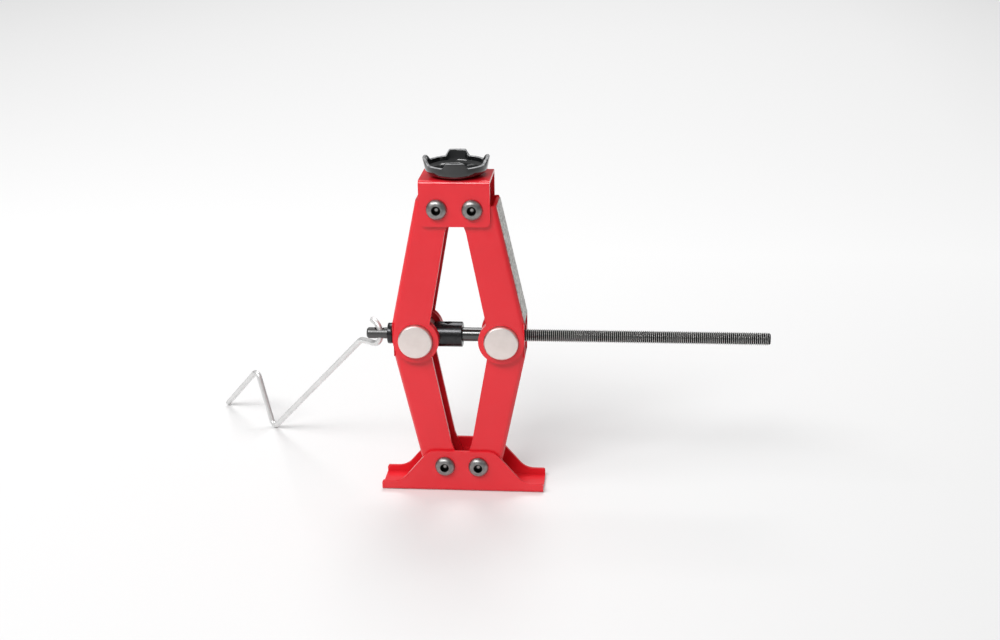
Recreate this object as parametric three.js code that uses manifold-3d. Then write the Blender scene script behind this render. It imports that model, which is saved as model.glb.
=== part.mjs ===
// A small scissor jack for scale-model vehicles, standing raised with its crank hooked in.
// Four channel arms pivot in a base channel and a top bracket. Toothed sectors on the pivot
// ends keep both sides level, and a screw through the two trunnions sets the height.
// Millimetres, +Z up, +X along the screw towards its threaded end.
// The origin is the centre of the base's underside.

import * as THREE from 'three';
import { mergeVertices } from 'three/addons/utils/BufferGeometryUtils.js';
import Module from 'manifold-3d';

const wasm = await Module();
wasm.setup();

// ---------- driving dimensions ----------

const SHEET = 0.8;                 // steel sheet of base, arms and bracket
const SIDE_PLAY = 0.1;             // running gap between neighbouring sheets
const PIN_PLAY = 0.1;              // radial gap of a pin in its hole
const BEND_RADIUS = 0.9;           // outside radius where the bracket is folded
const ARM_BEND_RADIUS = 1.2;       // and where an arm is

const ARM_LENGTH = 34.45;          // pivot to trunnion
const ARM_LEAN = THREE.MathUtils.degToRad(10.6);  // from vertical, as it stands
const ARM_INNER_EDGE = 2.75;       // pivot line to the open edge of the channel
const ARM_OUTER_EDGE = 5.6;        // pivot line to the outer face of the web, at the pivot
const WEB_SLOPE = 0.0265;          // the web leans outwards by this towards the trunnion
const EAR_RADIUS = 5.7;            // round end at the trunnion
const WEB_GAP = 3.5;               // the web stops this far short of the trunnion
const LOWER_HALF = 4.1;            // half width over a lower arm
const UPPER_HALF = 5.5;            // half width over an upper arm

const PIVOT_HALF = 4.25;           // half the distance between neighbouring pivots
const BASE_PIVOT_HEIGHT = 6.9;
const TEETH = 17;                  // in a full turn
const ADDENDUM = 0.42;
const DEDENDUM = 0.6;
const PRESSURE_ANGLE = THREE.MathUtils.degToRad(20);
const TOOTH_SHARE = 0.93;          // of half the pitch, the rest is backlash

const BASE_HALF_LENGTH = 20.6;
const BASE_HALF = LOWER_HALF + SIDE_PLAY + SHEET;
const BASE_RAIL = 2.35;            // height of the side walls at the ends
const BASE_PEAK = 10.9;            // and around the pivots
const BASE_PEAK_HALF = 8.35;       // half length of the raised part at its top
const BASE_FOOT_HALF = 15.6;       // half length where the slope meets the low wall

const BRACKET_HALF_LENGTH = 8.55;
const BRACKET_HALF = UPPER_HALF + SIDE_PLAY + SHEET;
const BRACKET_DROP = 4.3;          // wall below the top pivots
const BRACKET_RISE = 7;            // top face above the top pivots

const TRUNNION_RADIUS = 4.25;
const TRUNNION_HALF = 6.75;
const TRUNNION_FLAT = 3.95;        // axis to the seat of collar and sleeve

const SCREW_RADIUS = 1.72;         // smooth part
const THREAD_RADIUS = 1.62;        // over the thread
const THREAD_LEFT = 6.7;
const SCREW_BORE = 1.82;
const SCREW_RIGHT_END = 76.2;
const DRIVE_END_RADIUS = 1.4;
const DRIVE_END_LEFT = -23.55;
const DRIVE_END_RIGHT = -18.3;
const EYE_X = -20.35;              // cross hole for the crank's hook
const EYE_RADIUS = 1.06;
const THRUST_RADIUS = 2.6;
const THRUST_THICKNESS = 1.3;
const COLLAR_RADIUS = 3.15;
const COLLAR_RIGHT = 0.57;
const SET_SCREW_X = -3;
const SET_SCREW_RADIUS = 0.88;

const PIVOT_SCREW_RADIUS = 1.25;
const SLEEVE_RADIUS = 1.8;
const HEAD_HEIGHT = 1.35;
const HEAD_RADIUS = 2.52;
const SOCKET_RADIUS = 1.2;         // out to the corners of the hexagon
const SOCKET_DEPTH = 0.8;
const NUT_RADIUS = 2.89;           // out to the corners of the hexagon
const NUT_HEIGHT = 2.2;

const SADDLE_RADIUS = 7.6;
const SADDLE_WALL = 0.8;
const SADDLE_FOOT_RADIUS = 4.6;
const SADDLE_RIM = 3.1;            // above the bracket
const SADDLE_LOBE = 4.5;           // tips of the lobes above the bracket
const SADDLE_FLARE = 0.52;         // how far a lobe leans out
const SADDLE_TURN = 4;             // degrees about the vertical, as it happens to stand
const LOBE_TIP_HALF = 2;
const LOBE_ROOT_HALF = 3.25;

const WIRE_RADIUS = 0.75;
const CRANK_TURN = THREE.MathUtils.degToRad(41);  // plane of the crank, from -X towards +Y
const HOOK_RADIUS = 3.1;
const HOOK_DROP = 0.26;            // centre of the hook below the screw's axis

const LABEL_THICKNESS = 0.15;

// ---------- places worked out from them ----------

const TRUNNION_X = PIVOT_HALF + ARM_LENGTH * Math.sin(ARM_LEAN);
const TRUNNION_Z = BASE_PIVOT_HEIGHT + ARM_LENGTH * Math.cos(ARM_LEAN);
const TOP_PIVOT_HEIGHT = TRUNNION_Z + ARM_LENGTH * Math.cos(ARM_LEAN);
const BRACKET_TOP = TOP_PIVOT_HEIGHT + BRACKET_RISE;
const CLEAR = 1;                   // how far a cutting tool reaches past its work

// ---------- finishes ----------

function finish(color, roughness, metalness) {
  return new THREE.MeshStandardMaterial({ color, roughness, metalness });
}

const redPaint = finish(0xcf2430, 0.4, 0.1);
const blackSteel = finish(0x1b1c1e, 0.45, 0.6);
const darkNickel = finish(0x3c3f40, 0.3, 0.9);
const turnedAluminium = finish(0xd9d3cf, 0.35, 0.8);
const brightWire = finish(0xc9c9c7, 0.25, 0.9);
const blackPlastic = finish(0x141516, 0.35, 0);
const plainSteel = finish(0xa7a9aa, 0.35, 0.9);
const greyFilm = finish(0xa9aba8, 0.5, 0);

// ---------- solids and cuts ----------

function solid(geometry) {
  geometry.deleteAttribute('normal');
  geometry.deleteAttribute('uv');
  const merged = mergeVertices(geometry, 1e-4);
  return new wasm.Manifold(new wasm.Mesh({
    numProp: 3,
    vertProperties: new Float32Array(merged.attributes.position.array),
    triVerts: new Uint32Array(merged.index.array),
  }));
}

function geometryOf(body) {
  const mesh = body.getMesh();
  const geometry = new THREE.BufferGeometry();
  geometry.setAttribute('position', new THREE.BufferAttribute(mesh.vertProperties, 3));
  geometry.setIndex(new THREE.BufferAttribute(mesh.triVerts, 1));
  geometry.computeVertexNormals();
  return geometry;
}

function joined(bodies) {
  return bodies.reduce((whole, body) => whole.add(body));
}

function cut(body, tools) {
  return tools.reduce((rest, tool) => rest.subtract(tool), body);
}

// A plate drawn in the XZ plane, from y = low to y = high.
function plate(shape, low, high) {
  const settings = { depth: high - low, bevelEnabled: false, curveSegments: 7 };
  const geometry = new THREE.ExtrudeGeometry(shape, settings);
  geometry.rotateX(Math.PI / 2);
  geometry.translate(0, high, 0);
  return solid(geometry);
}

function block(x0, x1, y0, y1, z0, z1) {
  const geometry = new THREE.BoxGeometry(x1 - x0, y1 - y0, z1 - z0);
  geometry.translate((x0 + x1) / 2, (y0 + y1) / 2, (z0 + z1) / 2);
  return solid(geometry);
}

// A turned body: [radius, height] pairs from one end of the axis to the other, laid along 'x',
// 'y' or 'z'.
function turned(profile, axis, sides, bore = 0) {
  const first = profile[0][1];
  const last = profile[profile.length - 1][1];
  const outline = [[bore, first], ...profile, [bore, last]];
  if (bore > 0) {
    outline.push([bore, first]);
  }
  const geometry = new THREE.LatheGeometry(outline.map(([r, h]) => new THREE.Vector2(r, h)), sides);
  if (axis === 'x') {
    geometry.rotateZ(-Math.PI / 2);
  }
  if (axis === 'z') {
    geometry.rotateX(Math.PI / 2);
  }
  return solid(geometry);
}

function rod(radius, low, high, axis, sides) {
  return turned([[radius, low], [radius, high]], axis, sides);
}

function pinHole(radius, x, z, sides) {
  const reach = BRACKET_HALF + CLEAR;
  return rod(radius, -reach, reach, 'y', sides).translate([x, 0, z]);
}

// The sliver outside a rounded edge that runs along X, to be cut off a square corner.
function edgeRounding(y, z, radius, halfLength) {
  const signY = Math.sign(y);
  const centre = { y: y - signY * radius, z: z > radius ? z - radius : radius };
  const signZ = z > radius ? 1 : -1;
  const corner = [
    [y + signY * CLEAR, z + signZ * CLEAR],
    [centre.y, z + signZ * CLEAR],
    [centre.y, z],
  ];
  const steps = 5;
  for (let i = 1; i <= steps; i++) {
    const angle = (i / steps) * Math.PI / 2;
    corner.push([
      centre.y + signY * radius * Math.sin(angle),
      centre.z + signZ * radius * Math.cos(angle),
    ]);
  }
  corner.push([y + signY * CLEAR, centre.z]);
  const shape = new THREE.Shape(corner.map(([a, b]) => new THREE.Vector2(a, b)));
  const geometry = new THREE.ExtrudeGeometry(shape, { depth: 2 * halfLength, bevelEnabled: false });
  geometry.rotateX(Math.PI / 2);
  geometry.rotateZ(Math.PI / 2);
  geometry.translate(-halfLength, 0, 0);
  return solid(geometry);
}

// ---------- arms ----------

// Half the angle that a tooth takes up at a given radius, on an involute flank.
function toothHalfAngle(radius) {
  const involute = (angle) => Math.tan(angle) - angle;
  const baseRadius = PIVOT_HALF * Math.cos(PRESSURE_ANGLE);
  const slope = radius > baseRadius ? Math.acos(baseRadius / radius) : 0;
  const atPitch = (Math.PI / 2 / TEETH) * TOOTH_SHARE;
  return atPitch + involute(PRESSURE_ANGLE) - involute(slope);
}

// Where the outer edge of a flange ends near the pivot, counted towards the trunnion. It falls
// between two teeth, and so it differs on the two kinds of arm.
function shoulder(side) {
  return side < 0 ? 0.3 : -1;
}

// Distance from the pivot line to the outer face of the web.
function outerEdge(height) {
  return ARM_OUTER_EDGE + WEB_SLOPE * height;
}

// Leans something drawn along Z the way the web leans.
function leaned(geometry, side) {
  const slope = side * WEB_SLOPE;
  return geometry.applyMatrix4(new THREE.Matrix4().set(
    1, 0, slope, 0,
    0, 1, 0, 0,
    0, 0, 1, 0,
    0, 0, 0, 1,
  ));
}

// Side view of an arm. The pivot is the origin, the trunnion lies up +Z, and the channel's open
// edge faces the other arm. side is +1 where the web lies on +X, -1 where it lies on -X.
function armOutline(side) {
  const points = [];
  const polar = (radius, angle) => {
    // angle is counted from the open edge towards the end beyond the pivot
    points.push([-side * radius * Math.cos(angle), -radius * Math.sin(angle)]);
  };
  const degrees = THREE.MathUtils.degToRad;
  const pitch = (2 * Math.PI) / TEETH;
  const root = PIVOT_HALF - DEDENDUM;
  const tip = PIVOT_HALF + ADDENDUM;
  const flank = [root, PIVOT_HALF - 0.22, PIVOT_HALF, PIVOT_HALF + 0.24, tip];

  points.push([-side * ARM_INNER_EDGE, 5.5]);
  polar(root, degrees(-18));
  // on one arm a tooth stands on the line between the pivots, on its partner a gap does
  const phase = side < 0 ? 0 : pitch / 2;
  const sectorStart = degrees(-14);
  const sectorEnd = degrees(100);
  for (let k = -2; k <= TEETH; k++) {
    const middle = ARM_LEAN + phase + k * pitch;
    if (middle - pitch / 2 < sectorStart || middle + pitch / 4 > sectorEnd) {
      continue;
    }
    flank.forEach((radius) => polar(radius, middle - toothHalfAngle(radius)));
    [...flank].reverse().forEach((radius) => polar(radius, middle + toothHalfAngle(radius)));
  }
  // a low part that clears the partner when the jack is folded, then a shoulder up to the web
  const low = PIVOT_HALF - 0.15;
  const corner = 0.25;
  const edge = shoulder(side);
  for (let angle = 108; -low * Math.sin(degrees(angle)) < edge - 0.4; angle += 15) {
    polar(low, degrees(angle));
  }
  const cornerSteps = 4;
  points.push([side * Math.sqrt(low ** 2 - edge ** 2) * 0.98, edge]);
  for (let i = 0; i <= cornerSteps; i++) {
    const angle = (i / cornerSteps) * Math.PI / 2;
    points.push([
      side * (outerEdge(edge) - corner + corner * Math.sin(angle)),
      edge + corner * (1 - Math.cos(angle)),
    ]);
  }
  // the outer edge follows the web, then turns upright (as the jack stands) to touch the ear
  const acrossEar = EAR_RADIUS / Math.cos(ARM_LEAN);
  const turnBack = (outerEdge(ARM_LENGTH) - acrossEar) / (Math.tan(ARM_LEAN) + WEB_SLOPE);
  points.push([side * outerEdge(ARM_LENGTH - turnBack), ARM_LENGTH - turnBack]);
  // round ear about the trunnion, from the web's side over the top to the open edge
  const earEnd = Math.PI + Math.asin(Math.sqrt(1 - (ARM_INNER_EDGE / EAR_RADIUS) ** 2));
  const earSteps = 34;
  for (let i = 0; i <= earSteps; i++) {
    const angle = THREE.MathUtils.lerp(ARM_LEAN, earEnd, i / earSteps);
    points.push([
      side * EAR_RADIUS * Math.cos(angle),
      ARM_LENGTH + EAR_RADIUS * Math.sin(angle),
    ]);
  }
  return new THREE.Shape(points.map(([x, z]) => new THREE.Vector2(x, z)));
}

// The sliver outside a folded edge between the web and one flange.
function foldRounding(side, signY, half, top) {
  const x = side * ARM_OUTER_EDGE;
  const y = signY * half;
  const bendRadius = ARM_BEND_RADIUS;
  const outline = [
    [x + side * CLEAR, y + signY * CLEAR],
    [x - side * bendRadius, y + signY * CLEAR],
    [x - side * bendRadius, y],
  ];
  const steps = 6;
  for (let i = 1; i <= steps; i++) {
    const angle = (i / steps) * Math.PI / 2;
    outline.push([
      x - side * bendRadius * (1 - Math.sin(angle)),
      y - signY * bendRadius * (1 - Math.cos(angle)),
    ]);
  }
  outline.push([x + side * CLEAR, y - signY * bendRadius]);
  const shape = new THREE.Shape(outline.map(([a, b]) => new THREE.Vector2(a, b)));
  const length = top + ARM_OUTER_EDGE + CLEAR;
  const sliver = new THREE.ExtrudeGeometry(shape, { depth: length, bevelEnabled: false });
  sliver.translate(0, 0, top - length);
  return solid(leaned(sliver, side));
}

// The space between the flanges, which leaves the web standing from bottom to top.
function channelSpace(side, inside, bottom, top) {
  const reach = 2 * ARM_OUTER_EDGE;
  const space = block(-reach, reach, -inside, inside, -reach, ARM_LENGTH + reach);
  const web = new THREE.BoxGeometry(reach, 2 * (inside + CLEAR), top - bottom);
  web.translate(side * (ARM_OUTER_EDGE - SHEET + reach / 2), 0, (top + bottom) / 2);
  return space.subtract(solid(leaned(web, side)));
}

function armSolid(side, half) {
  const outline = armOutline(side);
  const inside = half - SHEET;
  const webBottom = shoulder(side) + 0.25;
  const webTop = ARM_LENGTH - WEB_GAP;
  return cut(plate(outline, -half, half), [
    channelSpace(side, inside, webBottom, webTop),
    foldRounding(side, 1, half, webTop),
    foldRounding(side, -1, half, webTop),
    pinHole(SLEEVE_RADIUS + PIN_PLAY, 0, 0, 24),
    pinHole(TRUNNION_RADIUS + PIN_PLAY, 0, ARM_LENGTH, 44),
  ]);
}

// ---------- base and top bracket ----------

function baseSolid() {
  const wall = new THREE.Shape();
  const endRound = 0.6;
  const peakRound = 1.6;
  const footRound = 2.2;
  const slope = Math.atan2(BASE_PEAK - BASE_RAIL, BASE_FOOT_HALF - BASE_PEAK_HALF);
  const along = { x: Math.cos(slope), z: Math.sin(slope) };
  wall.moveTo(-BASE_HALF_LENGTH, 0);
  wall.lineTo(BASE_HALF_LENGTH, 0);
  wall.lineTo(BASE_HALF_LENGTH, BASE_RAIL - endRound);
  wall.quadraticCurveTo(BASE_HALF_LENGTH, BASE_RAIL, BASE_HALF_LENGTH - endRound, BASE_RAIL);
  wall.lineTo(BASE_FOOT_HALF + footRound, BASE_RAIL);
  wall.quadraticCurveTo(BASE_FOOT_HALF, BASE_RAIL,
    BASE_FOOT_HALF - footRound * along.x, BASE_RAIL + footRound * along.z);
  wall.lineTo(BASE_PEAK_HALF + peakRound * along.x, BASE_PEAK - peakRound * along.z);
  wall.quadraticCurveTo(BASE_PEAK_HALF, BASE_PEAK, BASE_PEAK_HALF - peakRound, BASE_PEAK);
  wall.lineTo(-BASE_PEAK_HALF + peakRound, BASE_PEAK);
  wall.quadraticCurveTo(-BASE_PEAK_HALF, BASE_PEAK,
    -BASE_PEAK_HALF - peakRound * along.x, BASE_PEAK - peakRound * along.z);
  wall.lineTo(-BASE_FOOT_HALF + footRound * along.x, BASE_RAIL + footRound * along.z);
  wall.quadraticCurveTo(-BASE_FOOT_HALF, BASE_RAIL, -BASE_FOOT_HALF - footRound, BASE_RAIL);
  wall.lineTo(-BASE_HALF_LENGTH + endRound, BASE_RAIL);
  wall.quadraticCurveTo(-BASE_HALF_LENGTH, BASE_RAIL, -BASE_HALF_LENGTH, BASE_RAIL - endRound);
  const inside = BASE_HALF - SHEET;
  const body = joined([
    plate(wall, -BASE_HALF, -inside),
    plate(wall, inside, BASE_HALF),
    block(-BASE_HALF_LENGTH, BASE_HALF_LENGTH, -BASE_HALF, BASE_HALF, 0, SHEET),
  ]);
  const lowFold = 0.6;
  return cut(body, [
    edgeRounding(BASE_HALF, 0, lowFold, BASE_HALF_LENGTH + CLEAR),
    edgeRounding(-BASE_HALF, 0, lowFold, BASE_HALF_LENGTH + CLEAR),
    pinHole(PIVOT_SCREW_RADIUS + PIN_PLAY, -PIVOT_HALF, BASE_PIVOT_HEIGHT, 16),
    pinHole(PIVOT_SCREW_RADIUS + PIN_PLAY, PIVOT_HALF, BASE_PIVOT_HEIGHT, 16),
  ]);
}

function bracketSolid() {
  const low = TOP_PIVOT_HEIGHT - BRACKET_DROP;
  const round = 1.5;
  const x = BRACKET_HALF_LENGTH;
  const wall = new THREE.Shape();
  wall.moveTo(-x + round, low);
  wall.lineTo(x - round, low);
  wall.absarc(x - round, low + round, round, -Math.PI / 2, 0);
  wall.lineTo(x, BRACKET_TOP);
  wall.lineTo(-x, BRACKET_TOP);
  wall.lineTo(-x, low + round);
  wall.absarc(-x + round, low + round, round, Math.PI, 1.5 * Math.PI);
  const inside = BRACKET_HALF - SHEET;
  const body = joined([
    plate(wall, -BRACKET_HALF, -inside),
    plate(wall, inside, BRACKET_HALF),
    block(-x, x, -BRACKET_HALF, BRACKET_HALF, BRACKET_TOP - SHEET, BRACKET_TOP),
  ]);
  const bolt = rod(PIVOT_SCREW_RADIUS + PIN_PLAY, BRACKET_TOP - SHEET - CLEAR, BRACKET_TOP + CLEAR,
    'z', 16);
  return cut(body, [
    edgeRounding(BRACKET_HALF, BRACKET_TOP, BEND_RADIUS, x + CLEAR),
    edgeRounding(-BRACKET_HALF, BRACKET_TOP, BEND_RADIUS, x + CLEAR),
    pinHole(PIVOT_SCREW_RADIUS + PIN_PLAY, -PIVOT_HALF, TOP_PIVOT_HEIGHT, 16),
    pinHole(PIVOT_SCREW_RADIUS + PIN_PLAY, PIVOT_HALF, TOP_PIVOT_HEIGHT, 16),
    bolt,
  ]);
}

// ---------- saddle ----------

// A shallow cup with four flared lobes that grip the load. z = 0 is its underside.
function saddleSolid() {
  const inner = SADDLE_RADIUS - SADDLE_WALL;
  const cup = turned([
    [SADDLE_FOOT_RADIUS, 0],
    [6.3, 0.45],
    [7.3, 1.15],
    [SADDLE_RADIUS, 1.9],
    [SADDLE_RADIUS, SADDLE_RIM],
    [inner, SADDLE_RIM],
    [inner, 2.1],
    [5.9, 1.4],
    [4.4, 1.0],
  ], 'z', 28, PIVOT_SCREW_RADIUS + PIN_PLAY);
  const lean = (height) => SADDLE_FLARE * (height - 1.9) / (SADDLE_LOBE - 1.9);
  const low = 2.1;
  const crown = turned([
    [SADDLE_RADIUS + lean(low), low],
    [SADDLE_RADIUS + SADDLE_FLARE, SADDLE_LOBE],
  ], 'z', 28, inner + 0.05);
  const funnel = turned([
    [inner + lean(low), low - 0.01],
    [inner + SADDLE_FLARE, SADDLE_LOBE + 0.01],
  ], 'z', 28);
  const tab = new THREE.Shape();
  tab.moveTo(-LOBE_ROOT_HALF - 0.7, low - CLEAR);
  tab.lineTo(LOBE_ROOT_HALF + 0.7, low - CLEAR);
  tab.lineTo(LOBE_ROOT_HALF, SADDLE_RIM);
  tab.quadraticCurveTo(LOBE_TIP_HALF + 0.35, SADDLE_LOBE, LOBE_TIP_HALF - 0.5, SADDLE_LOBE);
  tab.lineTo(-LOBE_TIP_HALF + 0.5, SADDLE_LOBE);
  tab.quadraticCurveTo(-LOBE_TIP_HALF - 0.35, SADDLE_LOBE, -LOBE_ROOT_HALF, SADDLE_RIM);
  const reach = SADDLE_RADIUS + SADDLE_FLARE + CLEAR;
  const across = plate(tab, -reach, reach);
  const lobes = crown.subtract(funnel).intersect(across.add(across.rotate([0, 0, 90])));
  return cup.add(lobes);
}

// ---------- fasteners ----------

// A hexagon socket button head on a plain shank. The head's seat is at 0 and the shank runs up
// the axis.
function buttonScrew(shankLength, axis) {
  const body = turned([
    [0.55 * HEAD_RADIUS, -HEAD_HEIGHT],
    [0.8 * HEAD_RADIUS, -0.78 * HEAD_HEIGHT],
    [0.95 * HEAD_RADIUS, -0.45 * HEAD_HEIGHT],
    [HEAD_RADIUS, -0.12 * HEAD_HEIGHT],
    [HEAD_RADIUS, 0],
    [PIVOT_SCREW_RADIUS, 0],
    [PIVOT_SCREW_RADIUS, shankLength - 0.3],
    [PIVOT_SCREW_RADIUS - 0.3, shankLength],
  ], axis, 16);
  const socket = rod(SOCKET_RADIUS, -HEAD_HEIGHT - CLEAR, -HEAD_HEIGHT + SOCKET_DEPTH, axis, 6);
  return body.subtract(socket);
}

function nut(axis) {
  const bore = PIVOT_SCREW_RADIUS + PIN_PLAY / 2;
  return turned([[NUT_RADIUS, 0], [NUT_RADIUS, NUT_HEIGHT]], axis, 6)
    .subtract(rod(bore, -CLEAR, NUT_HEIGHT + CLEAR, axis, 12));
}

function sleeve(halfLength) {
  return turned([[SLEEVE_RADIUS, -halfLength], [SLEEVE_RADIUS, halfLength]],
    'y', 16, PIVOT_SCREW_RADIUS + PIN_PLAY);
}

// ---------- trunnions, screw and collars ----------

function trunnionSolid() {
  const edge = 0.3;
  const body = turned([
    [TRUNNION_RADIUS - edge, -TRUNNION_HALF],
    [TRUNNION_RADIUS, -TRUNNION_HALF + edge],
    [TRUNNION_RADIUS, TRUNNION_HALF - edge],
    [TRUNNION_RADIUS - edge, TRUNNION_HALF],
  ], 'y', 28);
  const seatHalf = LOWER_HALF - SHEET - SIDE_PLAY;
  const reach = TRUNNION_RADIUS + CLEAR;
  return cut(body, [
    block(TRUNNION_FLAT, reach, -seatHalf, seatHalf, -reach, reach),
    block(-reach, -TRUNNION_FLAT, -seatHalf, seatHalf, -reach, reach),
    rod(SCREW_BORE, -reach, reach, 'x', 20),
  ]);
}

function screwSolid() {
  const chamfer = 0.4;
  const body = turned([
    [DRIVE_END_RADIUS - chamfer, DRIVE_END_LEFT],
    [DRIVE_END_RADIUS, DRIVE_END_LEFT + chamfer],
    [DRIVE_END_RADIUS, DRIVE_END_RIGHT],
    [SCREW_RADIUS, DRIVE_END_RIGHT],
    [SCREW_RADIUS, THREAD_LEFT],
    [THREAD_RADIUS, THREAD_LEFT],
    [THREAD_RADIUS, SCREW_RIGHT_END - chamfer],
    [THREAD_RADIUS - chamfer, SCREW_RIGHT_END],
  ], 'x', 20);
  const reach = DRIVE_END_RADIUS + CLEAR;
  const eye = rod(EYE_RADIUS, -reach, reach, 'z', 24).translate([EYE_X, 0, 0]);
  return body.subtract(eye);
}

function ring(radius, left, right) {
  const edge = 0.2;
  return turned([
    [radius - edge, left],
    [radius, left + edge],
    [radius, right - edge],
    [radius - edge, right],
  ], 'x', 20, SCREW_RADIUS + PIN_PLAY);
}

function collarSolid(left) {
  const hole = rod(SET_SCREW_RADIUS + PIN_PLAY / 2, 0, COLLAR_RADIUS + CLEAR, 'z', 12);
  return ring(COLLAR_RADIUS, left, COLLAR_RIGHT).subtract(hole.translate([SET_SCREW_X, 0, 0]));
}

function setScrewSolid() {
  const top = COLLAR_RADIUS - 0.35;
  const body = rod(SET_SCREW_RADIUS, SCREW_RADIUS + PIN_PLAY, top, 'z', 12);
  return body.subtract(rod(0.5, top - 0.6, top + CLEAR, 'z', 6));
}

// ---------- crank ----------

// A round wire bent in one plane: each station is where the sweep sets one section down.
class BentWire extends THREE.Curve {
  constructor(stations) {
    super();
    this.stations = stations;
  }

  getPoint(t) {
    return this.stations[Math.round(t * (this.stations.length - 1))].clone();
  }

  getPointAt(t) {
    return this.getPoint(t);
  }

  getTangentAt(t) {
    const last = this.stations.length - 1;
    const i = Math.round(t * last);
    const before = this.stations[Math.max(i - 1, 0)];
    const after = this.stations[Math.min(i + 1, last)];
    return after.clone().sub(before).normalize();
  }
}

// Points of an arc that rounds a corner between two straight runs.
function bend(from, corner, to, radius, steps) {
  const back = from.clone().sub(corner).normalize();
  const ahead = to.clone().sub(corner).normalize();
  const half = back.angleTo(ahead) / 2;
  const bisector = back.clone().add(ahead).normalize();
  const centre = corner.clone().addScaledVector(bisector, radius / Math.sin(half));
  const start = corner.clone().addScaledVector(back, radius / Math.tan(half)).sub(centre);
  const finishPoint = corner.clone().addScaledVector(ahead, radius / Math.tan(half)).sub(centre);
  const sweep = start.angleTo(finishPoint);
  const points = [];
  for (let i = 0; i <= steps; i++) {
    const share = i / steps;
    const a = Math.sin((1 - share) * sweep) / Math.sin(sweep);
    const b = Math.sin(share * sweep) / Math.sin(sweep);
    points.push(centre.clone().addScaledVector(start, a).addScaledVector(finishPoint, b));
  }
  return points;
}

// The crank: a hook through the drive end's eye, a long shaft down to the ground, a throw back up
// and a handle parallel to the shaft. Drawn as [distance out from the eye, height], then turned
// into its upright plane.
function crankStations() {
  const out = new THREE.Vector3(-Math.cos(CRANK_TURN), Math.sin(CRANK_TURN), 0);
  const eye = new THREE.Vector3(EYE_X, 0, 0);
  const place = (distance, height) => {
    const point = eye.clone().addScaledVector(out, distance);
    return point.setZ(height);
  };
  const hookOut = HOOK_RADIUS - 0.24;
  const hookHeight = TRUNNION_Z - HOOK_DROP;
  const hookStart = THREE.MathUtils.degToRad(92);
  const hookEnd = THREE.MathUtils.degToRad(266);
  const hookSteps = 12;
  const stations = [];
  for (let i = 0; i <= hookSteps; i++) {
    const angle = THREE.MathUtils.lerp(hookStart, hookEnd, i / hookSteps);
    stations.push(place(
      hookOut + HOOK_RADIUS * Math.cos(angle),
      hookHeight + HOOK_RADIUS * Math.sin(angle),
    ));
  }
  const hookFoot = stations[stations.length - 1];
  const shaftTop = place(7.6, hookFoot.z - 0.35);
  const shaftFoot = place(49.4, -0.25);
  const throwTop = place(55.7, 15.4);
  const handleEnd = place(71.8, 0.77);
  stations.push(
    ...bend(hookFoot, shaftTop, shaftFoot, 3, 3),
    ...bend(shaftTop, shaftFoot, throwTop, 1.5, 5),
    ...bend(shaftFoot, throwTop, handleEnd, 1.5, 5),
    handleEnd,
  );
  return stations;
}

function crankGeometry() {
  const sides = 8;
  const section = new THREE.Shape();
  for (let i = 0; i < sides; i++) {
    const angle = (i / sides) * 2 * Math.PI;
    const x = WIRE_RADIUS * Math.cos(angle);
    const y = WIRE_RADIUS * Math.sin(angle);
    if (i === 0) {
      section.moveTo(x, y);
    } else {
      section.lineTo(x, y);
    }
  }
  section.closePath();
  const stations = crankStations();
  return new THREE.ExtrudeGeometry(section, {
    steps: stations.length - 1,
    bevelEnabled: false,
    extrudePath: new BentWire(stations),
  });
}

// ---------- assembly ----------

const jack = new THREE.Group();

function place(name, geometry, material, x = 0, y = 0, z = 0, turn = 0, parent = jack) {
  const mesh = new THREE.Mesh(geometry, material);
  mesh.name = name;
  mesh.position.set(x, y, z);
  mesh.rotation.y = turn;
  parent.add(mesh);
  return mesh;
}

function addFrame() {
  place('base', geometryOf(baseSolid()), redPaint);
  place('top_bracket', geometryOf(bracketSolid()), redPaint);
}

function addArms() {
  const low = BASE_PIVOT_HEIGHT;
  const high = TOP_PIVOT_HEIGHT;
  const lowerLeft = geometryOf(armSolid(-1, LOWER_HALF));
  const lowerRight = geometryOf(armSolid(1, LOWER_HALF));
  const upperLeft = geometryOf(armSolid(1, UPPER_HALF));
  const upperRight = geometryOf(armSolid(-1, UPPER_HALF));
  place('lower_left_arm', lowerLeft, redPaint, -PIVOT_HALF, 0, low, -ARM_LEAN);
  place('lower_right_arm', lowerRight, redPaint, PIVOT_HALF, 0, low, ARM_LEAN);
  place('upper_left_arm', upperLeft, redPaint, -PIVOT_HALF, 0, high, Math.PI + ARM_LEAN);
  place('upper_right_arm', upperRight, redPaint, PIVOT_HALF, 0, high, Math.PI - ARM_LEAN);
}

// A blank film on the outside of the upper right arm's web.
function addLabel() {
  const margin = 0.15;
  const start = shoulder(-1) + 0.25 + margin;
  const end = ARM_LENGTH - WEB_GAP - margin;
  const half = UPPER_HALF - ARM_BEND_RADIUS;
  const film = new THREE.BoxGeometry(LABEL_THICKNESS, 2 * half, end - start);
  film.translate(-(ARM_OUTER_EDGE + 0.02 + LABEL_THICKNESS / 2), 0, (start + end) / 2);
  leaned(film, -1);
  place('arm_label', film, greyFilm, PIVOT_HALF, 0, TOP_PIVOT_HEIGHT, Math.PI - ARM_LEAN);
}

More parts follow.
